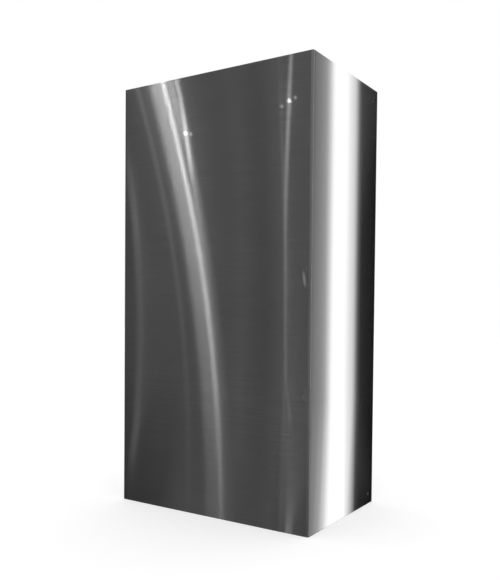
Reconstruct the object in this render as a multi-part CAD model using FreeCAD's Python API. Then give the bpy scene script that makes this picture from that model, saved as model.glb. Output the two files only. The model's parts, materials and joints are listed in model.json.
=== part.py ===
"""Cooker hood chimney section: a three-sided cover folded from one stainless steel sheet.

The cover hides the flue pipe between the hood and the ceiling. Its back is open to the wall, and a
narrow return along each rear edge stiffens the side and lies against the wall. A screw hole near
each end of both sides takes the screws of the wall bracket above and of the hood below.

Millimetres. +Z is up along the flue, -Y is the front that faces the room, +Y is the wall.
The origin is on the lower rim's plane, under the middle of the cover's outer box.
"""

import FreeCAD
import Part
import math
import os

# Driving dimensions
WIDTH = 310.0  # outside, across the front
DEPTH = 200.0  # outside, from the front to the wall
HEIGHT = 600.0  # along the flue
SHEET = 0.8  # steel thickness
BEND_RADIUS = 1.6  # inside radius of every fold
RETURN_WIDTH = 18.0  # outside, along the wall from the side to the free edge
RETURN_MITRE = 10.0  # corner cut off both ends of each return, along each of its two edges
HOLE_DIAMETER = 4.5  # clears a 4 mm screw
HOLE_FROM_END = 15.0  # hole centre to the nearer rim
HOLE_FROM_WALL = 17.0  # hole centre to the wall plane

# Worked out from the driving dimensions
SIDE_X = WIDTH / 2
FRONT_Y = -DEPTH / 2
WALL_Y = DEPTH / 2
FREE_EDGE_X = SIDE_X - RETURN_WIDTH
OUTER_RADIUS = BEND_RADIUS + SHEET
CUT_OVERRUN = SHEET  # how far a cutting tool runs past the faces that it cuts

UP = FreeCAD.Vector(0, 0, 1)
RIGHT = FreeCAD.Vector(1, 0, 0)


def fold_line(inset):
    """Corners of the folded section, from the left free edge round the front to the right one.

    An inset of 0 follows the outside of the sheet, and one of SHEET follows its inside.
    """
    side = SIDE_X - inset
    front = FRONT_Y + inset
    wall = WALL_Y - inset
    corners = [
        (-FREE_EDGE_X, wall),
        (-side, wall),
        (-side, front),
        (side, front),
        (side, wall),
        (FREE_EDGE_X, wall),
    ]
    return [FreeCAD.Vector(x, y, 0) for x, y in corners]


def rounded_path(corners, radius):
    """Straight runs through the corners, with a tangent arc of the radius at each inner corner."""
    edges = []
    start = corners[0]
    for before, corner, after in zip(corners, corners[1:], corners[2:]):
        towards = (corner - before).normalize()
        away = (after - corner).normalize()
        turn = towards.getAngle(away)
        setback = radius * math.tan(turn / 2)
        enter = corner - towards * setback
        leave = corner + away * setback
        inwards = (away - towards).normalize()
        to_arc = radius / math.cos(turn / 2) - radius
        edges.append(Part.makeLine(start, enter))
        edges.append(Part.Arc(enter, corner + inwards * to_arc, leave).toShape())
        start = leave
    edges.append(Part.makeLine(start, corners[-1]))
    return edges


def folded_sheet():
    """The bent sheet at full height, before anything is cut from it."""
    outside = fold_line(0)
    inside = fold_line(SHEET)
    left_edge = Part.makeLine(outside[0], inside[0])
    right_edge = Part.makeLine(outside[-1], inside[-1])
    edges = rounded_path(outside, OUTER_RADIUS) + rounded_path(inside, BEND_RADIUS)
    section = Part.Wire(Part.__sortEdges__(edges + [left_edge, right_edge]))
    return Part.Face(section).extrude(UP * HEIGHT)


def mitre_cutter(hand, rim_z, into):
    """Prism that cuts the corner off one end of a return, whose free edge is on the hand's side.

    hand is 1 on the right and -1 on the left, and into is the way from the rim into the cover.
    """
    back = WALL_Y - SHEET - CUT_OVERRUN
    overrun = CUT_OVERRUN
    free = FREE_EDGE_X - overrun
    reach = RETURN_MITRE + overrun * 2
    rim = rim_z - into * overrun
    corners = [
        FreeCAD.Vector(hand * free, back, rim),
        FreeCAD.Vector(hand * (free + reach), back, rim),
        FreeCAD.Vector(hand * free, back, rim + into * reach),
    ]
    outline = Part.makePolygon(corners + corners[:1])
    return Part.Face(outline).extrude(FreeCAD.Vector(0, SHEET + 2 * CUT_OVERRUN, 0))


def screw_hole_drill(z):
    """Cylinder that drills both sides in one pass, so that their holes are in line."""
    start = FreeCAD.Vector(-SIDE_X - CUT_OVERRUN, WALL_Y - HOLE_FROM_WALL, z)
    return Part.makeCylinder(HOLE_DIAMETER / 2, WIDTH + 2 * CUT_OVERRUN, start, RIGHT)


def chimney_cover():
    """The finished cover: the folded sheet with mitred returns and its four screw holes."""
    cutters = []
    for rim_z, into in ((0, 1), (HEIGHT, -1)):
        cutters.append(screw_hole_drill(rim_z + into * HOLE_FROM_END))
        for hand in (-1, 1):
            cutters.append(mitre_cutter(hand, rim_z, into))
    return folded_sheet().cut(cutters)


def main():
    os.makedirs("parts", exist_ok=True)
    cover = chimney_cover()
    cover.Solids[0].exportStep("parts/chimney_cover.step")
    box = cover.BoundBox
    print("chimney_cover", cover.isValid(), len(cover.Solids), "solid,", round(cover.Volume, 1), "mm3")
    print("size", round(box.XLength, 3), round(box.YLength, 3), round(box.ZLength, 3))


main()
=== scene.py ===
"""Cooker hood chimney section: the looks of a flue cover folded from one sheet of brushed steel.

The cover is one folded sheet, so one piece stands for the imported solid: the sheet itself, with the
shallow waves and knocks of a real one and a finish of its own outside, inside and on its cut edges.
The file is laid out as an add-on, and is run as a script.

Metres. +Z is up along the flue, -Y is the front that faces the room, +Y is the wall.
"""

import json
import math

import bpy
from bpy.props import FloatProperty, FloatVectorProperty, PointerProperty
from mathutils import Euler, Matrix, Vector


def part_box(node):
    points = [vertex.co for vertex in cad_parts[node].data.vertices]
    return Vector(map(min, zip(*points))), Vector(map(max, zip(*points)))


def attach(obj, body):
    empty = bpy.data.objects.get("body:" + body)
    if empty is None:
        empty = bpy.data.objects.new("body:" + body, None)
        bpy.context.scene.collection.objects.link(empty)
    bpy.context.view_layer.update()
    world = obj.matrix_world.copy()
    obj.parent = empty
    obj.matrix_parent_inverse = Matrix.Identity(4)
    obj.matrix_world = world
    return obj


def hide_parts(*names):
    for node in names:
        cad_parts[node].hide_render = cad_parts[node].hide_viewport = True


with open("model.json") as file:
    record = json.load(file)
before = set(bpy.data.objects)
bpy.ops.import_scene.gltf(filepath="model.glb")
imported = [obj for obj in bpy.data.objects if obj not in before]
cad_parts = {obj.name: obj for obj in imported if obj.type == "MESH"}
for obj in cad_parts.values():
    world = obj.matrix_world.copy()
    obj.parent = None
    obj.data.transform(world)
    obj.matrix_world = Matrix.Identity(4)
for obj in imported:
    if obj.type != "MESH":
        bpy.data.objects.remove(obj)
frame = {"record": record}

bl_info = {
    "name": "Flue cover",
    "version": (1, 0, 0),
    "blender": (4, 5, 0),
    "location": "3D View > Sidebar > Flue cover",
    "description": "Folds a brushed steel flue cover and sets it in a white studio",
    "category": "Object",
}

MM = 0.001
UP = Vector((0, 0, 1))
NODE = "chimney_cover"
FLAT_PATTERN = "flat_pattern"  # UV map in metres: along the unfolded sheet, and up

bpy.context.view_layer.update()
LOWEST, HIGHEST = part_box(NODE)
MOUNTS = {mount["name"]: mount for mount in frame["record"]["mounts"]}
SCREW_HOLES = MOUNTS["right_screw_holes"]

# The sheet's mesh
BEND_STEPS = 8
FRONT_COLUMN_SPACING = 1.6 * MM  # fine enough for the knocks
COLUMN_SPACING = 4 * MM
ROWS = 140
DRILL_SIDES = 40
SHARP_ANGLE = math.radians(35)
MERGE_DISTANCE = 0.001 * MM

# Values of the face attribute that says which finish a face gets
FINISH = "finish"
OUTSIDE, INSIDE, CUT_EDGE = range(3)
SAME_FINISH = 0.5  # the values are whole numbers, so a smaller difference is none


def linear(hex_colour):
    """Linear RGB of an sRGB colour written as #RRGGBB."""
    parts = [int(hex_colour[i:i + 2], 16) / 255 for i in (1, 3, 5)]
    return tuple(c / 12.92 if c <= 0.04045 else ((c + 0.055) / 1.055) ** 2.4 for c in parts)


def length(name, description, default):
    """A length that a user would change."""
    return FloatProperty(name=name, description=description, default=default, unit="LENGTH", precision=5)


def colour(name, description, hex_colour):
    """A colour that a user would change, with its default written as #RRGGBB."""
    return FloatVectorProperty(
        name=name, description=description, default=linear(hex_colour), subtype="COLOR", min=0, max=1
    )


class FlueCoverSizes(bpy.types.PropertyGroup):
    """Sizes of the folded sheet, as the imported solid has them."""

    width: length("Width", "Outside, across the front", HIGHEST.x - LOWEST.x)
    depth: length("Depth", "Outside, from the front to the wall", HIGHEST.y - LOWEST.y)
    height: length("Height", "Along the flue", HIGHEST.z - LOWEST.z)
    sheet: length("Sheet", "Steel thickness", 0.8 * MM)
    bend_radius: length("Bend radius", "Inside radius of every fold", 1.6 * MM)
    return_width: length("Return width", "Outside, along the wall from side to free edge", 18 * MM)
    return_mitre: length("Return mitre", "Corner cut off both ends of each return", 10 * MM)
    hole_radius: length("Hole radius", "Screw holes in both sides", SCREW_HOLES["dims"]["hole_r_mm"] * MM)
    hole_from_wall: length("Hole from wall", "Hole centre to the wall", HIGHEST.y - SCREW_HOLES["pos_m"][1])
    hole_pitch: length("Hole pitch", "Upper to lower hole", SCREW_HOLES["dims"]["spacing_y_mm"] * MM)
    wave_depth: length("Wave depth", "How far the flat walls sink between their folds", 0.012 * MM)
    wave_length: length("Wave length", "Distance between two waves of a flat wall", 160 * MM)
    knock_depth: length("Knock depth", "Depth of the deeper knock in the front", 0.40 * MM)


class FlueCoverFinish(bpy.types.PropertyGroup):
    """Colours of the steel."""

    brushed: colour("Brushed steel", "Brushed outside of the sheet", "#AEAEAE")
    # the inside's colour is darker than the brushed steel's: partly the rolled finish's own tone, partly
    # painted shade inside the cover
    mill_and_inner_shade: colour("Mill finish", "Dull inside of the sheet, as rolled", "#888888")
    cut: colour("Cut edge", "Sheared edges of the sheet", "#808080")


class FlueCoverStudio(bpy.types.PropertyGroup):
    """Camera and white studio."""

    eye: FloatVectorProperty(
        name="Eye", description="Where the camera stands", default=(0.5566, -0.8570, 0.2854),
        subtype="TRANSLATION", unit="LENGTH",
    )
    yaw: FloatProperty(
        name="Yaw", description="Turn to the left from looking along +Y", default=math.radians(32.939),
        subtype="ANGLE",
    )
    pitch: FloatProperty(
        name="Pitch", description="Tilt upwards", default=math.radians(-1.625), subtype="ANGLE"
    )
    roll: FloatProperty(
        name="Roll", description="Lean to the left", default=math.radians(0.521), subtype="ANGLE"
    )
    white: colour("Studio white", "Backdrop, and the floor where it is seen", "#FFFFFF")
    paint: colour("Floor paint", "Paint that takes the cover's shadow", "#E7E7E7")


class FlueCoverSettings(bpy.types.PropertyGroup):
    """Everything that a user would change."""

    sizes: PointerProperty(type=FlueCoverSizes)
    finish: PointerProperty(type=FlueCoverFinish)
    studio: PointerProperty(type=FlueCoverStudio)


def add_node(tree, kind, inputs=(), **settings):
    """Adds a node with its settings, then links or sets its inputs, which go by name or place."""
    made = tree.nodes.new(kind)
    for name, value in settings.items():
        setattr(made, name, value)
    for key, value in dict(inputs).items():
        if isinstance(value, bpy.types.NodeSocket):
            tree.links.new(value, made.inputs[key])
        else:
            made.inputs[key].default_value = value
    return made


# The folded sheet

SHEET_SIZES = (
    "Width", "Depth", "Height", "Sheet", "Bend Radius", "Return Width", "Return Mitre", "Hole Radius",
    "Hole From Wall", "Hole Pitch", "Wave Depth", "Wave Length", "Knock Depth",
)
SHEET_FINISHES = ("Outside", "Inside", "Cut Edge")
CUTTER_OVERRUN = 3 * MM
BEND_STIFFNESS = 35 * MM  # a wall stays flat this near to a fold

# Knocks in the front: in from the right side and up from the lower rim, half width and half height, lean,
# share of the depth
KNOCKS = (
    ((7.2 * MM, 321.5 * MM), (3.2 * MM, 12 * MM), math.radians(-11), 1.0),
    ((7.2 * MM, 174.7 * MM), (3.4 * MM, 5 * MM), math.radians(-25), 0.9),
)


def fold_line(sizes):
    """Outside corners of the section, from the right free edge round the front to the left one."""
    side = sizes.width / 2
    wall = sizes.depth / 2
    free = side - sizes.return_width
    corners = [(free, wall), (side, wall), (side, -wall), (-side, -wall), (-side, wall), (-free, wall)]
    return [(x, y, 0) for x, y in corners]


def sheet_tree():
    """Geometry Nodes that fold a sheet along the object's line of corners and cut it to shape."""
    tree = bpy.data.node_groups.new("Folded sheet", "GeometryNodeTree")
    tree.interface.new_socket("Fold Line", in_out="INPUT", socket_type="NodeSocketGeometry")
    for name in SHEET_SIZES:
        tree.interface.new_socket(name, in_out="INPUT", socket_type="NodeSocketFloat")
    for name in SHEET_FINISHES:
        tree.interface.new_socket(name, in_out="INPUT", socket_type="NodeSocketMaterial")
    tree.interface.new_socket("Cover", in_out="OUTPUT", socket_type="NodeSocketGeometry")
    given = add_node(tree, "NodeGroupInput").outputs
    flat, skin = swept_skin(tree, given)
    worn = waves_and_knocks(tree, given, flat, skin)
    whole = thickened(tree, given, worn)
    cut = add_node(
        tree, "GeometryNodeMeshBoolean", {"Mesh 1": whole, "Mesh 2": cutters(tree, given)},
        operation="DIFFERENCE", solver="MANIFOLD",
    )
    smooth = add_node(tree, "GeometryNodeSetShadeSmooth", {"Geometry": cut.outputs[0]}, domain="FACE")
    angle = add_node(tree, "GeometryNodeInputMeshEdgeAngle")
    sharp = add_node(
        tree, "ShaderNodeMath", {0: angle.outputs["Unsigned Angle"], 1: SHARP_ANGLE},
        operation="GREATER_THAN",
    )
    edged = add_node(
        tree, "GeometryNodeSetShadeSmooth",
        {"Geometry": smooth.outputs[0], "Selection": sharp.outputs[0], "Shade Smooth": False},
        domain="EDGE",
    )
    last = add_node(tree, "GeometryNodeRealizeInstances", {"Geometry": edged.outputs[0]}).outputs[0]
    finish = add_node(tree, "GeometryNodeInputNamedAttribute", {"Name": FINISH}, data_type="INT")
    last = add_node(
        tree, "GeometryNodeSetMaterial", {"Geometry": last, "Material": given["Outside"]}
    ).outputs[0]
    for name, value in (("Inside", INSIDE), ("Cut Edge", CUT_EDGE)):
        chosen = add_node(
            tree, "ShaderNodeMath", {0: finish.outputs["Attribute"], 1: value, 2: SAME_FINISH},
            operation="COMPARE",
        )
        last = add_node(
            tree, "GeometryNodeSetMaterial",
            {"Geometry": last, "Selection": chosen.outputs[0], "Material": given[name]},
        ).outputs[0]
    add_node(tree, "NodeGroupOutput", {"Cover": last})
    return tree


def swept_skin(tree, given):
    """The sheet's flat pattern and its outer skin, which is the fold line with its bends, swept upwards."""
    line = add_node(tree, "GeometryNodeMeshToCurve", {"Mesh": given["Fold Line"]})
    outer = add_node(tree, "ShaderNodeMath", {0: given["Bend Radius"], 1: given["Sheet"]}, operation="ADD")
    bent = add_node(
        tree, "GeometryNodeFilletCurve",
        {"Curve": line.outputs[0], "Radius": outer.outputs[0], "Count": BEND_STEPS}, mode="POLY",
    )
    place = add_node(tree, "GeometryNodeInputPosition").outputs[0]
    index = add_node(tree, "GeometryNodeInputIndex")
    after = add_node(tree, "ShaderNodeMath", {0: index.outputs[0], 1: 1.0}, operation="ADD")
    there = add_node(
        tree, "GeometryNodeFieldAtIndex", {"Index": after.outputs[0]},
        data_type="FLOAT_VECTOR", domain="POINT",
    )
    tree.links.new(place, there.inputs["Value"])
    run = add_node(tree, "ShaderNodeVectorMath", {0: place, 1: there.outputs[0]}, operation="DISTANCE")
    axes = add_node(tree, "ShaderNodeSeparateXYZ", {0: place})
    front = add_node(tree, "ShaderNodeMath", {0: given["Depth"], 1: -0.5}, operation="MULTIPLY")
    on_front = add_node(
        tree, "ShaderNodeMath", {0: axes.outputs["Y"], 1: front.outputs[0], 2: MERGE_DISTANCE},
        operation="COMPARE",
    )
    spacing = add_node(
        tree, "ShaderNodeMapRange",
        {"Value": on_front.outputs[0], "To Min": COLUMN_SPACING, "To Max": FRONT_COLUMN_SPACING},
    )
    share = add_node(
        tree, "ShaderNodeMath", {0: run.outputs["Value"], 1: spacing.outputs[0]}, operation="DIVIDE"
    )
    cuts = add_node(tree, "ShaderNodeMath", {0: share.outputs[0]}, operation="FLOOR")
    columns = add_node(
        tree, "GeometryNodeSubdivideCurve", {"Curve": bent.outputs[0], "Cuts": cuts.outputs[0]}
    )
    walked = add_node(tree, "GeometryNodeSplineParameter")
    kept = add_node(tree, "GeometryNodeCaptureAttribute", {"Geometry": columns.outputs[0]}, domain="POINT")
    kept.capture_items.new("FLOAT", "Along")
    tree.links.new(walked.outputs["Length"], kept.inputs["Along"])
    far = add_node(tree, "ShaderNodeMath", {0: given["Height"], 1: -1.0}, operation="MULTIPLY")
    top = add_node(tree, "ShaderNodeCombineXYZ", {"Y": far.outputs[0]})  # the sweep turns -Y upwards
    rise = add_node(tree, "GeometryNodeCurvePrimitiveLine", {"End": top.outputs[0]}, mode="POINTS")
    rows = add_node(
        tree, "GeometryNodeResampleCurve", {"Curve": rise.outputs[0], "Count": ROWS + 1}, mode="COUNT"
    )
    swept = add_node(
        tree, "GeometryNodeCurveToMesh",
        {"Curve": kept.outputs["Geometry"], "Profile Curve": rows.outputs[0]},
    )
    flat = add_node(
        tree, "ShaderNodeCombineXYZ", {"X": kept.outputs["Along"], "Y": axes.outputs["Z"]}
    ).outputs[0]
    mapped = add_node(
        tree, "GeometryNodeStoreNamedAttribute",
        {"Geometry": swept.outputs[0], "Name": FLAT_PATTERN, "Value": flat},
        data_type="FLOAT2", domain="CORNER",
    )
    return flat, mapped.outputs[0]


def waves_and_knocks(tree, given, flat, skin):
    """Sinks the flat walls a little between their folds, and the two knocks into the front."""
    place = add_node(tree, "GeometryNodeInputPosition").outputs[0]
    axes = add_node(tree, "ShaderNodeSeparateXYZ", {0: place})
    side = add_node(tree, "ShaderNodeMath", {0: given["Width"], 1: 0.5}, operation="MULTIPLY")
    wall = add_node(tree, "ShaderNodeMath", {0: given["Depth"], 1: 0.5}, operation="MULTIPLY")
    front = add_node(tree, "ShaderNodeMath", {0: given["Depth"], 1: -0.5}, operation="MULTIPLY")
    from_fold = []
    for axis, half in (("X", side), ("Y", wall)):
        out = add_node(tree, "ShaderNodeMath", {0: axes.outputs[axis]}, operation="ABSOLUTE")
        left = add_node(
            tree, "ShaderNodeMath", {0: half.outputs[0], 1: out.outputs[0]}, operation="SUBTRACT"
        )
        from_fold.append(left.outputs[0])
    room = add_node(tree, "ShaderNodeMath", {0: from_fold[0], 1: from_fold[1]}, operation="MAXIMUM")
    slack = add_node(
        tree, "ShaderNodeMapRange", {"Value": room.outputs[0], "From Max": BEND_STIFFNESS},
        interpolation_type="SMOOTHSTEP",
    )
    scaled = add_node(tree, "ShaderNodeVectorMath", {0: flat}, operation="SCALE")
    per_wave = add_node(tree, "ShaderNodeMath", {0: 1.0, 1: given["Wave Length"]}, operation="DIVIDE")
    tree.links.new(per_wave.outputs[0], scaled.inputs["Scale"])
    noise = add_node(
        tree, "ShaderNodeTexNoise", {"Vector": scaled.outputs[0], "Scale": 1.0, "Detail": 1.0},
        noise_dimensions="2D",
    )
    wave = add_node(
        tree, "ShaderNodeMath", {0: noise.outputs[0], 1: slack.outputs[0]}, operation="MULTIPLY"
    )
    sunk = add_node(
        tree, "ShaderNodeMath", {0: wave.outputs[0], 1: given["Wave Depth"]}, operation="MULTIPLY"
    )
    for (from_side, z), (half_width, half_height), lean, depth_share in KNOCKS:
        x = add_node(tree, "ShaderNodeMath", {0: side.outputs[0], 1: from_side}, operation="SUBTRACT")
        centre = add_node(
            tree, "ShaderNodeCombineXYZ", {"X": x.outputs[0], "Y": front.outputs[0], "Z": z}
        )
        off = add_node(tree, "ShaderNodeVectorMath", {0: place, 1: centre.outputs[0]}, operation="SUBTRACT")
        upright = add_node(
            tree, "ShaderNodeVectorRotate", {"Vector": off.outputs[0], "Angle": -lean},
            rotation_type="Y_AXIS",
        )
        radii = (half_width, half_width, half_height)
        near = add_node(tree, "ShaderNodeVectorMath", {0: upright.outputs[0], 1: radii}, operation="DIVIDE")
        square = add_node(
            tree, "ShaderNodeVectorMath", {0: near.outputs[0], 1: near.outputs[0]}, operation="DOT_PRODUCT"
        )
        minus = add_node(
            tree, "ShaderNodeMath", {0: square.outputs["Value"], 1: -1.0}, operation="MULTIPLY"
        )
        bowl = add_node(tree, "ShaderNodeMath", {0: minus.outputs[0]}, operation="EXPONENT")
        share = add_node(tree, "ShaderNodeMath", {0: bowl.outputs[0], 1: depth_share}, operation="MULTIPLY")
        sunk = add_node(
            tree, "ShaderNodeMath", {0: share.outputs[0], 1: given["Knock Depth"], 2: sunk.outputs[0]},
            operation="MULTIPLY_ADD",
        )
    inwards = add_node(tree, "ShaderNodeMath", {0: sunk.outputs[0], 1: -1.0}, operation="MULTIPLY")
    normal = add_node(tree, "GeometryNodeInputNormal")
    offset = add_node(tree, "ShaderNodeVectorMath", {0: normal.outputs[0]}, operation="SCALE")
    tree.links.new(inwards.outputs[0], offset.inputs["Scale"])
    moved = add_node(tree, "GeometryNodeSetPosition", {"Geometry": skin, "Offset": offset.outputs[0]})
    return moved.outputs[0]


def with_finish(tree, geometry, value, selection=True):
    """Marks faces with the finish that they get at the end."""
    return add_node(
        tree, "GeometryNodeStoreNamedAttribute",
        {"Geometry": geometry, "Selection": selection, "Name": FINISH, "Value": value},
        data_type="INT", domain="FACE",
    ).outputs[0]


def thickened(tree, given, skin):
    """A closed sheet: the outer skin, an inner one behind it and the edges between them."""
    turned = add_node(tree, "GeometryNodeFlipFaces", {"Mesh": skin})
    pushed = add_node(
        tree, "GeometryNodeExtrudeMesh",
        {"Mesh": turned.outputs[0], "Offset Scale": given["Sheet"], "Individual": False}, mode="FACES",
    )
    behind = with_finish(tree, pushed.outputs["Mesh"], INSIDE, pushed.outputs["Top"])
    behind = with_finish(tree, behind, CUT_EDGE, pushed.outputs["Side"])
    joined = add_node(tree, "GeometryNodeJoinGeometry")
    tree.links.new(behind, joined.inputs[0])
    tree.links.new(with_finish(tree, skin, OUTSIDE), joined.inputs[0])
    return add_node(
        tree, "GeometryNodeMergeByDistance", {"Geometry": joined.outputs[0], "Distance": MERGE_DISTANCE}
    ).outputs[0]


def cutters(tree, given):
    """Two drills through both sides, and a square bar on its corner at each end of both returns."""
    half_width = add_node(tree, "ShaderNodeMath", {0: given["Width"], 1: 0.5}, operation="MULTIPLY")
    wall = add_node(tree, "ShaderNodeMath", {0: given["Depth"], 1: 0.5}, operation="MULTIPLY")
    middle = add_node(tree, "ShaderNodeMath", {0: given["Height"], 1: 0.5}, operation="MULTIPLY")
    joined = add_node(tree, "GeometryNodeJoinGeometry")

    reach = add_node(tree, "ShaderNodeMath", {0: given["Width"], 1: CUTTER_OVERRUN}, operation="ADD")
    drill = add_node(
        tree, "GeometryNodeMeshCylinder",
        {"Vertices": DRILL_SIDES, "Radius": given["Hole Radius"], "Depth": reach.outputs[0]},
    )
    drill_y = add_node(
        tree, "ShaderNodeMath", {0: wall.outputs[0], 1: given["Hole From Wall"]}, operation="SUBTRACT"
    )
    drill_at = add_node(
        tree, "ShaderNodeCombineXYZ", {"Y": drill_y.outputs[0], "Z": middle.outputs[0]}
    )
    hole_grid = add_node(
        tree, "GeometryNodeMeshGrid",
        {"Size X": 0.0, "Size Y": given["Hole Pitch"], "Vertices X": 1, "Vertices Y": 2},
    )

    mitre_x = add_node(
        tree, "ShaderNodeMath", {0: half_width.outputs[0], 1: given["Return Width"]}, operation="SUBTRACT"
    )
    apart = add_node(tree, "ShaderNodeMath", {0: mitre_x.outputs[0], 1: 2.0}, operation="MULTIPLY")
    bar_side = add_node(
        tree, "ShaderNodeMath", {0: given["Return Mitre"], 1: math.sqrt(2)}, operation="MULTIPLY"
    )
    bar_size = add_node(
        tree, "ShaderNodeCombineXYZ",
        {"X": bar_side.outputs[0], "Y": CUTTER_OVERRUN, "Z": bar_side.outputs[0]},
    )
    bar = add_node(tree, "GeometryNodeMeshCube", {"Size": bar_size.outputs[0]})
    bar_at = add_node(tree, "ShaderNodeCombineXYZ", {"Y": wall.outputs[0], "Z": middle.outputs[0]})
    mitre_grid = add_node(
        tree, "GeometryNodeMeshGrid",
        {"Size X": apart.outputs[0], "Size Y": given["Height"], "Vertices X": 2, "Vertices Y": 2},
    )
    upright = (math.radians(90), 0, 0)
    for grid, at, tool, turn in (
        (hole_grid, drill_at, drill, math.radians(90)),
        (mitre_grid, bar_at, bar, math.radians(45)),
    ):
        placed = add_node(
            tree, "GeometryNodeTransform",
            {"Geometry": grid.outputs[0], "Translation": at.outputs[0], "Rotation": upright},
        )
        copies = add_node(
            tree, "GeometryNodeInstanceOnPoints",
            {"Points": placed.outputs[0], "Instance": tool.outputs[0], "Rotation": (0, turn, 0)},
        )
        tree.links.new(copies.outputs[0], joined.inputs[0])
    real = add_node(tree, "GeometryNodeRealizeInstances", {"Geometry": joined.outputs[0]})
    return with_finish(tree, real.outputs[0], CUT_EDGE)


def fold_sheet(context, finishes):
    """The cover as a plain mesh, folded by its own tree at the sizes in the settings."""
    sizes = context.scene.flue_cover.sizes
    corners = fold_line(sizes)
    line = bpy.data.meshes.new("fold_line")
    line.from_pydata(corners, [(i, i + 1) for i in range(len(corners) - 1)], [])
    cover = bpy.data.objects.new("folded_cover", line)
    context.scene.collection.objects.link(cover)
    folder = cover.modifiers.new("Fold", "NODES")
    folder.node_group = sheet_tree()
    values = {name: getattr(sizes, name.lower().replace(" ", "_")) for name in SHEET_SIZES}
    values.update(finishes)
    for socket in folder.node_group.interface.items_tree:
        if socket.name in values:
            folder[socket.identifier] = values[socket.name]
    made = cover.evaluated_get(context.evaluated_depsgraph_get())
    cover.data = bpy.data.meshes.new_from_object(made)
    cover.data.name = "folded_cover"
    cover.data.materials.pop(index=0)  # the empty slot that the cut adds
    cover.modifiers.clear()
    bpy.data.meshes.remove(line)
    return cover


# Finishes

PATTERN_MIDDLE = 0.5  # noise is about this
PATTERN_SWING = 0.2  # and seldom further from it than this


def new_material(name):
    """An empty node material, and its output node."""
    material = bpy.data.materials.new(name)
    material.use_nodes = True
    material.node_tree.nodes.clear()
    return material, add_node(material.node_tree, "ShaderNodeOutputMaterial")


def sheet_pattern(tree, across, up, detail=2.0):
    """Noise on the unfolded sheet, with marks of the size given across the sheet and up it."""
    flat = add_node(tree, "ShaderNodeUVMap", uv_map=FLAT_PATTERN)
    sized = add_node(
        tree, "ShaderNodeMapping", {"Vector": flat.outputs[0], "Scale": (1 / across, 1 / up, 1)}
    )
    return add_node(
        tree, "ShaderNodeTexNoise", {"Vector": sized.outputs[0], "Scale": 1.0, "Detail": detail},
        noise_dimensions="2D",
    ).outputs[0]


def uneven(tree, middle, *swings):
    """A value about a middle one, which patterns lift and lower, each by its own swing."""
    value = middle
    for pattern, swing in swings:
        centred = add_node(tree, "ShaderNodeMath", {0: pattern, 1: PATTERN_MIDDLE}, operation="SUBTRACT")
        share = add_node(
            tree, "ShaderNodeMath", {0: centred.outputs[0], 1: PATTERN_SWING}, operation="DIVIDE"
        )
        value = add_node(
            tree, "ShaderNodeMath", {0: share.outputs[0], 1: swing, 2: value}, operation="MULTIPLY_ADD"
        ).outputs[0]
    return value


# Stainless steel sheet, brushed with a belt around the folds and lacquered. The long fine grooves smear
# each light upwards and downwards into a streak that stays thin, steel seen along its surface is nearly a
# mirror, and the lacquer shows small lamps as sharp dots. The grain of 0.1 mm is drawn 1.4 mm apart, or
# it wouldn't show.
GRAIN_LENGTH = 70 * MM
GRAIN_SPACING = 1.4 * MM
SMUDGE_SIZE = 110 * MM
GROOVE_DEPTH = 0.004 * MM
GRAIN_CONTRAST = 0.06
SMUDGE_CONTRAST = 0.03
BRUSHED_ROUGHNESS = 0.29
BRUSHED_UNEVENNESS = 0.02  # of the roughness
QUARTER_TURN = 0.25  # turns the smear across the grooves
STREAK_SHARE = 0.75  # of the steel's light that stays in thin streaks
GLANCING_FROM, GLANCING_TO = 0.3, 0.53  # how far the steel turns from the eye while it becomes a mirror
MIRROR_SHARE = 0.92  # beyond that
LACQUER_IOR = 1.5
WHITE = (*linear("#FFFFFF"), 1)


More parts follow.
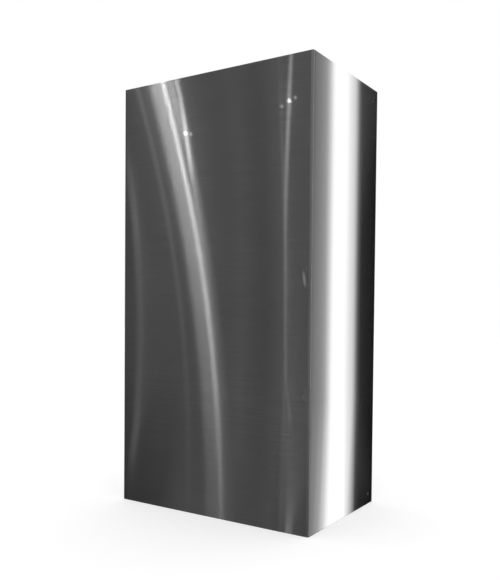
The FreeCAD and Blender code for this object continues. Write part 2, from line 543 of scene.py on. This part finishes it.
def brushed_stainless(base):
    material, output = new_material("brushed_stainless_steel")
    tree = material.node_tree
    grain = sheet_pattern(tree, GRAIN_LENGTH, GRAIN_SPACING, detail=3.0)
    smudge = sheet_pattern(tree, SMUDGE_SIZE, SMUDGE_SIZE)
    lit = uneven(tree, 1.0, (grain, GRAIN_CONTRAST), (smudge, SMUDGE_CONTRAST))
    steel = add_node(tree, "ShaderNodeVectorMath", {0: base, 1: lit}, operation="MULTIPLY").outputs[0]
    worn = uneven(
        tree, BRUSHED_ROUGHNESS, (grain, BRUSHED_UNEVENNESS), (smudge, BRUSHED_UNEVENNESS)
    )
    grooved = add_node(
        tree, "ShaderNodeBump", {"Height": grain, "Distance": GROOVE_DEPTH, "Strength": 1.0}
    )
    along = add_node(tree, "ShaderNodeTangent", direction_type="UV_MAP", uv_map=FLAT_PATTERN)
    metal = add_node(
        tree, "ShaderNodeBsdfPrincipled",
        {
            "Base Color": steel, "Metallic": 1.0, "Roughness": worn, "Anisotropic": 1.0,
            "Anisotropic Rotation": QUARTER_TURN, "Tangent": along.outputs[0], "Normal": grooved.outputs[0],
            "Coat Weight": 0.5, "Coat Roughness": 0.04,
        },
    )
    streaks = add_node(
        tree, "ShaderNodeBsdfAnisotropic",
        {
            "Color": steel, "Roughness": 0.179, "Anisotropy": 0.925, "Tangent": along.outputs[0],
            "Normal": grooved.outputs[0],
        },
        distribution="BECKMANN",
    )
    brushed = add_node(
        tree, "ShaderNodeMixShader", {0: STREAK_SHARE, 1: metal.outputs[0], 2: streaks.outputs[0]}
    )
    sheen = add_node(
        tree, "ShaderNodeBsdfAnisotropic", {"Color": (*base, 1), "Roughness": 0.055, "Anisotropy": 0.0},
        distribution="BECKMANN",
    )
    facing = add_node(tree, "ShaderNodeLayerWeight", {"Blend": 0.5})
    glancing = add_node(
        tree, "ShaderNodeMapRange",
        {
            "Value": facing.outputs["Facing"], "From Min": GLANCING_FROM, "From Max": GLANCING_TO,
            "To Max": MIRROR_SHARE,
        },
        interpolation_type="SMOOTHSTEP",
    )
    steel_seen = add_node(
        tree, "ShaderNodeMixShader", {0: glancing.outputs[0], 1: brushed.outputs[0], 2: sheen.outputs[0]}
    )
    lacquer = add_node(
        tree, "ShaderNodeBsdfAnisotropic", {"Color": WHITE, "Roughness": 0.03, "Anisotropy": 0.0}
    )
    gloss = add_node(tree, "ShaderNodeFresnel", {"IOR": LACQUER_IOR})
    lacquered = add_node(
        tree, "ShaderNodeMixShader", {0: gloss.outputs[0], 1: steel_seen.outputs[0], 2: lacquer.outputs[0]}
    )
    tree.links.new(lacquered.outputs[0], output.inputs["Surface"])
    return material


# Cold-rolled stainless steel as it comes from the mill: dull and even, with the faint lines of the rolls
# up the sheet and a little cloudiness. Its colour is darker than the brushed steel's, partly its own duller
# tone and partly painted shade inside the cover. The lines of 0.2 mm are drawn 2.5 mm apart, or they
# wouldn't show.
ROLL_LINE_LENGTH = 180 * MM
ROLL_LINE_SPACING = 2.5 * MM
ROLL_LINE_DEPTH = 0.004 * MM
CLOUD_SIZE = 45 * MM
LINE_CONTRAST = 0.04
CLOUD_CONTRAST = 0.07
MILL_ROUGHNESS = 0.38
LINE_DULLNESS = 0.02
CLOUD_DULLNESS = 0.04


def mill_finish(base):
    material, output = new_material("mill_finish_stainless_steel")
    tree = material.node_tree
    lines = sheet_pattern(tree, ROLL_LINE_SPACING, ROLL_LINE_LENGTH)
    clouds = sheet_pattern(tree, CLOUD_SIZE, CLOUD_SIZE)
    lit = uneven(tree, 1.0, (lines, LINE_CONTRAST), (clouds, CLOUD_CONTRAST))
    steel = add_node(tree, "ShaderNodeVectorMath", {0: base, 1: lit}, operation="MULTIPLY")
    dull = uneven(tree, MILL_ROUGHNESS, (lines, LINE_DULLNESS), (clouds, CLOUD_DULLNESS))
    rolled = add_node(
        tree, "ShaderNodeBump", {"Height": lines, "Distance": ROLL_LINE_DEPTH, "Strength": 1.0}
    )
    metal = add_node(
        tree, "ShaderNodeBsdfPrincipled",
        {
            "Base Color": steel.outputs[0], "Metallic": 1.0, "Roughness": dull,
            "Normal": rolled.outputs[0],
        },
    )
    tree.links.new(metal.outputs[0], output.inputs["Surface"])
    return material


# The same steel where it was sheared and punched: bright where the blade rubbed it and dull where it tore,
# in short marks across the edge.
SHEAR_MARK_SPACING = 0.6 * MM
EDGE_LEVEL = 0.95
MARK_CONTRAST = 0.15
EDGE_ROUGHNESS = 0.39
MARK_DULLNESS = 0.11


def cut_edge(base):
    material, output = new_material("sheared_stainless_edge")
    tree = material.node_tree
    place = add_node(tree, "ShaderNodeTexCoord")
    marks = add_node(
        tree, "ShaderNodeTexNoise",
        {"Vector": place.outputs["Object"], "Scale": 1 / SHEAR_MARK_SPACING, "Detail": 1.0},
    ).outputs[0]
    lit = uneven(tree, EDGE_LEVEL, (marks, MARK_CONTRAST))
    steel = add_node(tree, "ShaderNodeVectorMath", {0: base, 1: lit}, operation="MULTIPLY")
    torn = uneven(tree, EDGE_ROUGHNESS, (marks, MARK_DULLNESS))
    metal = add_node(
        tree, "ShaderNodeBsdfPrincipled",
        {"Base Color": steel.outputs[0], "Metallic": 1.0, "Roughness": torn},
    )
    tree.links.new(metal.outputs[0], output.inputs["Surface"])
    return material


class FLUECOVER_OT_fold_sheet(bpy.types.Operator):
    """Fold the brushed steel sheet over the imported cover"""

    bl_idname = "flue_cover.fold_sheet"
    bl_label = "Fold the sheet"

    def execute(self, context):
        finish = context.scene.flue_cover.finish
        cover = fold_sheet(
            context,
            {
                "Outside": brushed_stainless(finish.brushed),
                "Inside": mill_finish(finish.mill_and_inner_shade),
                "Cut Edge": cut_edge(finish.cut),
            },
        )
        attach(cover, "root")
        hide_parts(NODE)
        return {"FINISHED"}


# The studio

IMAGE_SIZE = (500, 580)  # pixels
FOCAL_PIXELS = 694.52
SHIFT_PIXELS = 37.0
SENSOR = 36.0  # millimetres
SURROUND_LIGHT = 0.8  # what the white surround gives to surfaces that scatter light
FLOOR_SIZE = 12.0
FLOOR_GLOW = 0.45  # lifts the lit paint to white where it is seen
LEVEL = "level"  # point attribute: how bright a flat or a strip is there
WALL_TOP = 4.0

# The room's floor, the side's cloth and the front's lie on one another
ROOM_LIFT = 0.2 * MM
SIDE_LIFT = 0.4 * MM
FRONT_LIFT = 0.6 * MM

# Flats that a face mirrors: along the face, then the brightness of the wall there and of the floor cloth
FRONT_REACH = 2.0
FRONT_FLAT = (
    (-1.500, 0.13, 0.22),
    (-0.800, 0.13, 0.33),
    (-0.400, 0.13, 0.45),
    (-0.280, 0.11, 0.30),
    (-0.200, 0.08, 0.06),
    (-0.155, 0.07, 0.03),
    (-0.135, 0.15, 0.035),
    (-0.090, 0.17, 0.06),
    (-0.050, 0.15, 0.12),
    (0.000, 0.125, 0.13),
    (0.020, 0.125, 0.13),
    (0.040, 0.150, 0.13),
    (0.052, 0.185, 0.13),
    (0.064, 0.120, 0.13),
    (0.082, 0.085, 0.12),
    (0.096, 0.120, 0.13),
    (0.109, 0.190, 0.11),
    (0.118, 0.180, 0.12),
    (0.1205, 0.17, 0.14),
    (0.1235, 0.15, 0.42),
    (0.1290, 0.14, 0.35),
    (0.1335, 0.13, 0.14),
    (0.142, 0.125, 0.12),
    (0.155, 0.130, 0.09),
    (0.190, 0.13, 0.11),
    (0.210, 0.55, 0.13),
    (0.262, 0.55, 0.13),
    (0.285, 0.13, 0.11),
    (0.400, 0.12, 0.12),
    (0.500, 0.16, 0.14),
    (0.620, 0.35, 0.20),
    (0.800, 0.25, 0.22),
    (1.100, 0.15, 0.20),
)
SIDE_REACH = 1.2
SIDE_FLAT = (
    (-0.250, 0.15, 0.20),
    (-0.100, 0.31, 0.40),
    (-0.092, 0.33, 0.44),
    (-0.076, 0.45, 0.70),
    (-0.062, 0.62, 1.25),
    (-0.050, 1.30, 1.90),
    (-0.041, 2.15, 2.15),
    (0.000, 2.10, 2.10),
    (0.008, 1.65, 1.65),
    (0.024, 1.35, 0.80),
    (0.037, 0.14, 0.08),
    (0.050, 0.04, 0.02),
    (0.100, 0.015, 0.01),
    (0.250, 0.01, 0.01),
)

# Strip lights that the front mirrors: width on the face, reach, then points along the strip, each with its
# place along the face, its height there and its brightness, which fades towards both edges
BRIGHT_STRIPS = {
    "band": (24 * MM, 1.50, ((-0.0970, 0.605, 17.6), (-0.1096, 0.645, 17.6))),
    "line": (5 * MM, 1.41, ((-0.0871, 0.612, 0), (-0.0892, 0.618, 72), (-0.0997, 0.652, 70))),
    "fill": (
        12 * MM, 1.26,
        ((-0.0720, 0.602, 2.4), (-0.062, 0.570, 3), (-0.053, 0.535, 2), (-0.046, 0.495, 0)),
    ),
    "thin": (
        6 * MM, 1.25,
        (
            (-0.0606, 0.599, 2.5), (-0.0515, 0.576, 2.7), (-0.0428, 0.533, 6.0), (-0.0358, 0.491, 6.5),
            (-0.0300, 0.450, 0.0),
        ),
    ),
    "faint_left": (4 * MM, 2.03, ((-0.1532, 0.660, 7), (-0.1688, 0.700, 7))),
}

# Dim strips, given in the same way
DIM_STRIPS = {
    "far_left": (
        12 * MM, 0.20,
        (
            (-0.1540, 0.530, 0.0), (-0.1460, 0.482, 0.14), (-0.1355, 0.416, 0.25), (-0.1278, 0.328, 0.14),
            (-0.1241, 0.262, 0.11), (-0.1253, 0.195, 0.12), (-0.1307, 0.107, 0.18), (-0.1380, 0.070, 0.17),
            (-0.1425, 0.048, 0.0),
        ),
    ),
    "right": (
        4 * MM, 0.66,
        (
            (0.1290, 0.13, 0.0), (0.1264, 0.15, 0.60), (0.1212, 0.19, 0.40), (0.1188, 0.25, 0.50),
            (0.1175, 0.38, 0.80), (0.1170, 0.46, 0.0),
        ),
    ),
}

# How a strip fades across its width: place as a share of the width, and share of the brightness
STRIP_EDGES = ((-0.75, 0.0), (-0.25, 1.0), (0.25, 1.0), (0.75, 0.0))

# Small lamps that the front mirrors: place along the face and height, reach, radius, brightness, the
# angle of the beam and the height that it is aimed at
NARROW_BEAM = math.radians(3)
WIDE_BEAM = math.radians(70)
SPOTS = {
    "right_spot": (0.1183, 0.3068, 0.66, 4 * MM, 170, WIDE_BEAM, 0.84),
    "dot_1": (-0.0424, 0.5234, 1.15, 5.5 * MM, 24, NARROW_BEAM, 0.5234),
    "dot_1_right": (-0.0330, 0.5214, 1.15, 4 * MM, 7, NARROW_BEAM, 0.5214),
    "dot_2": (0.1214, 0.5426, 1.15, 5.5 * MM, 18, NARROW_BEAM, 0.5426),
    "dot_2_left": (0.1104, 0.5376, 1.15, 4 * MM, 5, NARROW_BEAM, 0.5376),
    "dot_2_right": (0.1299, 0.5452, 1.15, 4 * MM, 5.5, NARROW_BEAM, 0.5452),
}

# The floor of the dim room behind the flats: radius, even brightness, and share of the brightness of the
# room's strips. It is dark inside the cover, where its low even level is a painted shadow of the cover that
# only the steel shows, and white just outside it.
ROOM_FLOOR_WITH_PAINTED_SHADOW = (
    (0.01, 0.08, 0.0),
    (0.15, 0.08, 0.0),
    (0.19, 0.90, 0.10),
    (0.40, 0.40, 0.60),
    (0.80, 0.15, 0.85),
    (1.60, 0.0, 1.0),
)

# The room's upright strips: direction from the cover in degrees, from +X towards +Y, then brightness
ROOM_RADIUS = 3.2
ROOM = (
    (0, 0.18), (3, 1.2), (10, 1.2), (14, 0.18), (40, 0.18), (44, 1.2), (50, 1.2), (55, 0.25), (75, 0.35),
    (90, 0.8), (105, 0.35), (128, 0.25), (132, 1.2), (139, 1.2), (144, 0.25), (170, 0.22), (174, 1.2),
    (181, 1.2), (186, 0.22), (215, 0.18), (264, 0.15), (269, 0.9), (275, 0.9), (281, 0.15), (306, 0.15),
    (311, 0.7), (317, 0.7), (323, 0.15), (345, 0.15), (360, 0.18),
)


def place_camera(context):
    """The camera at the photograph's viewing angle, for an image of the photograph's size."""
    studio = context.scene.flue_cover.studio
    data = bpy.data.cameras.new("camera")
    data.sensor_width = SENSOR
    data.lens = FOCAL_PIXELS * SENSOR / max(IMAGE_SIZE)
    data.shift_y = SHIFT_PIXELS / max(IMAGE_SIZE)
    camera = bpy.data.objects.new("camera", data)
    turn = Euler((math.radians(90) + studio.pitch, 0, studio.yaw)).to_matrix().to_4x4()
    lean = Matrix.Rotation(studio.roll, 4, "Z")
    camera.matrix_world = Matrix.Translation(studio.eye) @ turn @ lean
    context.scene.collection.objects.link(camera)
    context.scene.camera = camera


def eye_image(studio, face):
    """The eye mirrored in the plane of a face, from where its reflections seem to be looked at."""
    eye = Vector(studio.eye)
    if face == "front":
        eye.y = 2 * LOWEST.y - eye.y
    else:
        eye.x = 2 * HIGHEST.x - eye.x
    return eye


def on_face(face, along, height):
    """A point of a face, from its place along the face and its height."""
    return Vector((along, LOWEST.y, height)) if face == "front" else Vector((HIGHEST.x, along, height))


def mirrored(studio, face, along, height, reach):
    """The place whose mirror image shows at a point of a face, at a distance from it."""
    point = on_face(face, along, height)
    way = point - eye_image(studio, face)
    return point + way.normalized() * reach


def glow(name, sampling, clear):
    """Light at the level that the mesh has at each of its points, added to what is behind it if clear."""
    material, output = new_material(name)
    material.cycles.emission_sampling = sampling
    tree = material.node_tree
    level = add_node(tree, "ShaderNodeAttribute", attribute_name=LEVEL, attribute_type="GEOMETRY")
    surface = add_node(tree, "ShaderNodeEmission", {"Strength": level.outputs["Fac"]})
    if clear:
        behind = add_node(tree, "ShaderNodeBsdfTransparent")
        surface = add_node(tree, "ShaderNodeAddShader", {0: behind.outputs[0], 1: surface.outputs[0]})
    tree.links.new(surface.outputs[0], output.inputs["Surface"])
    return material


def add_light_mesh(context, name, rows, levels, material):
    """A sheet of quads through rows of points, which shows in the metal and nowhere else."""
    width = len(rows[0])
    faces = []
    for row in range(len(rows) - 1):
        for i in range(width - 1):
            first = row * width + i
            faces.append((first, first + 1, first + width + 1, first + width))
    mesh = bpy.data.meshes.new(name)
    mesh.from_pydata([point for row in rows for point in row], [], faces)
    values = [level for row in levels for level in row]
    mesh.attributes.new(LEVEL, "FLOAT", "POINT").data.foreach_set("value", values)
    mesh.materials.append(material)
    light = bpy.data.objects.new(name, mesh)
    light.visible_camera = False
    light.visible_diffuse = False
    light.visible_shadow = False
    light.visible_transmission = False
    light.visible_volume_scatter = False
    context.scene.collection.objects.link(light)


def add_flat(context, name, face, columns, reach, lift, material):
    """A wall that a face mirrors, with a cloth just above the floor from the face's foot to the wall's."""
    eye = eye_image(context.scene.flue_cover.studio, face)
    eye.z = 0
    rows = []
    levels = []
    for along, wall, cloth in columns:
        near = on_face(face, along, 0)
        far = near + (near - eye).normalized() * reach
        rows.append((near + lift * UP, far + lift * UP, far + WALL_TOP * UP))
        levels.append((cloth, wall, wall))
    add_light_mesh(context, name, rows, levels, material)


def add_room(context, material):
    """A dim round room with upright strips of light running on along its floor, and a painted shadow inside
    the cover.
    """
    low = ROOM_LIFT * UP
    rows = []
    levels = []
    for degrees, level in ROOM:
        way = Vector((math.cos(math.radians(degrees)), math.sin(math.radians(degrees)), 0))
        far = way * ROOM_RADIUS
        # inside the cover the floor's even level is low, a painted shadow of the cover
        floor = [way * radius + low for radius, even, share in ROOM_FLOOR_WITH_PAINTED_SHADOW]
        floor_and_shadow_levels = [even + share * level for radius, even, share in ROOM_FLOOR_WITH_PAINTED_SHADOW]
        rows.append(floor + [far + low, far + WALL_TOP * UP])
        levels.append(floor_and_shadow_levels + [level, level])
    add_light_mesh(context, "room", rows, levels, material)


def add_strip(context, name, width, reach, points, material):
    """A strip light that the front mirrors along points, each given as along, height and brightness."""
    studio = context.scene.flue_cover.studio
    rows = []
    levels = []
    for along, height, level in points:
        places = [along + width * off for off, share in STRIP_EDGES]
        rows.append([mirrored(studio, "front", place, height, reach) for place in places])
        levels.append([level * share for off, share in STRIP_EDGES])
    add_light_mesh(context, name, rows, levels, material)


def add_spot(context, name, along, height, reach, radius, radiance, beam, aim):
    """A small spot lamp that the front mirrors at a point, and that is aimed at a height above it."""
    studio = context.scene.flue_cover.studio
    data = bpy.data.lights.new(name, "SPOT")
    data.shadow_soft_size = radius
    data.energy = radiance * 4 * math.pi ** 2 * radius ** 2  # watts of a ball of this brightness
    data.spot_size = beam
    data.spot_blend = 1.0
    lamp = bpy.data.objects.new(name, data)
    lamp.location = mirrored(studio, "front", along, height, reach)
    way = on_face("front", along, aim) - lamp.location
    lamp.rotation_euler = way.to_track_quat("-Z", "Y").to_euler()
    lamp.visible_diffuse = False
    context.scene.collection.objects.link(lamp)


def seen_directly(tree):
    """1 on rays from the camera, a mirror or glass, and 0 on rays that carry diffuse light."""
    path = add_node(tree, "ShaderNodeLightPath").outputs
    metal = add_node(
        tree, "ShaderNodeMath", {0: path["Is Camera Ray"], 1: path["Is Glossy Ray"]}, operation="MAXIMUM"
    )
    return add_node(
        tree, "ShaderNodeMath", {0: metal.outputs[0], 1: path["Is Transmission Ray"]}, operation="MAXIMUM"
    ).outputs[0]


def white_world(context):
    """A white surround, a little dimmer on surfaces that scatter light."""
    studio = context.scene.flue_cover.studio
    world = bpy.data.worlds.new("white_studio")
    context.scene.world = world
    world.use_nodes = True
    world.cycles.sampling_method = "NONE"
    tree = world.node_tree
    tree.nodes.clear()
    level = add_node(
        tree, "ShaderNodeMapRange",
        {"Value": seen_directly(tree), "To Min": SURROUND_LIGHT, "To Max": 1.0},
    )
    light = add_node(
        tree, "ShaderNodeBackground", {"Color": (*studio.white, 1), "Strength": level.outputs[0]}
    )
    add_node(tree, "ShaderNodeOutputWorld", {"Surface": light.outputs[0]})


def white_floor(context):
    """A pale floor that keeps the cover's shadow and is white away from it."""
    studio = context.scene.flue_cover.studio
    half = FLOOR_SIZE / 2
    corners = [(-half, -half, 0), (half, -half, 0), (half, half, 0), (-half, half, 0)]
    mesh = bpy.data.meshes.new("floor")
    mesh.from_pydata(corners, [], [(0, 1, 2, 3)])
    material, output = new_material("white_floor")
    material.cycles.emission_sampling = "NONE"
    tree = material.node_tree
    paint = add_node(tree, "ShaderNodeBsdfDiffuse", {"Color": (*studio.paint, 1)})
    level = add_node(
        tree, "ShaderNodeMath", {0: seen_directly(tree), 1: FLOOR_GLOW}, operation="MULTIPLY"
    )
    lift = add_node(tree, "ShaderNodeEmission", {"Color": (*studio.white, 1), "Strength": level.outputs[0]})
    both = add_node(tree, "ShaderNodeAddShader", {0: paint.outputs[0], 1: lift.outputs[0]})
    tree.links.new(both.outputs[0], output.inputs["Surface"])
    mesh.materials.append(material)
    floor = bpy.data.objects.new("floor", mesh)
    context.scene.collection.objects.link(floor)


class FLUECOVER_OT_set_studio(bpy.types.Operator):
    """Set the cover in a white studio, with the camera and its lights"""

    bl_idname = "flue_cover.set_studio"
    bl_label = "Set the studio"

    def execute(self, context):
        context.scene.view_settings.view_transform = "Standard"
        place_camera(context)
        white_world(context)
        white_floor(context)
        # Rays that leave the steel find the walls and the dim strips, which are large or near, by
        # themselves, so only the bright small strips are sampled as lamps are
        wall = glow("studio_wall", "NONE", clear=False)
        light = glow("studio_light", "FRONT_BACK", clear=True)
        dim_light = glow("studio_dim_light", "NONE", clear=True)
        add_room(context, wall)
        add_flat(context, "front_flat", "front", FRONT_FLAT, FRONT_REACH, FRONT_LIFT, wall)
        add_flat(context, "side_flat", "side", SIDE_FLAT, SIDE_REACH, SIDE_LIFT, wall)
        for strips, material in ((BRIGHT_STRIPS, light), (DIM_STRIPS, dim_light)):
            for name, (width, reach, points) in strips.items():
                add_strip(context, name, width, reach, points, material)
        for name, values in SPOTS.items():
            add_spot(context, name, *values)
        return {"FINISHED"}


class FLUECOVER_PT_panel(bpy.types.Panel):
    """Lists the steps and the settings"""

    bl_idname = "FLUECOVER_PT_panel"
    bl_label = "Flue cover"
    bl_space_type = "VIEW_3D"
    bl_region_type = "UI"
    bl_category = "Flue cover"

    def draw(self, context):
        settings = context.scene.flue_cover
        self.layout.operator(FLUECOVER_OT_fold_sheet.bl_idname)
        self.layout.operator(FLUECOVER_OT_set_studio.bl_idname)
        for group in (settings.sizes, settings.finish, settings.studio):
            box = self.layout.box()
            for name in group.bl_rna.properties.keys():
                if name not in ("rna_type", "name"):
                    box.prop(group, name)


CLASSES = (
    FlueCoverSizes,
    FlueCoverFinish,
    FlueCoverStudio,
    FlueCoverSettings,
    FLUECOVER_OT_fold_sheet,
    FLUECOVER_OT_set_studio,
    FLUECOVER_PT_panel,
)


def register():
    for kind in CLASSES:
        bpy.utils.register_class(kind)
    bpy.types.Scene.flue_cover = PointerProperty(type=FlueCoverSettings)


def unregister():
    del bpy.types.Scene.flue_cover
    for kind in reversed(CLASSES):
        bpy.utils.unregister_class(kind)


def main():
    register()
    bpy.ops.flue_cover.fold_sheet()
    bpy.ops.flue_cover.set_studio()


if __name__ == "__main__":
    main()
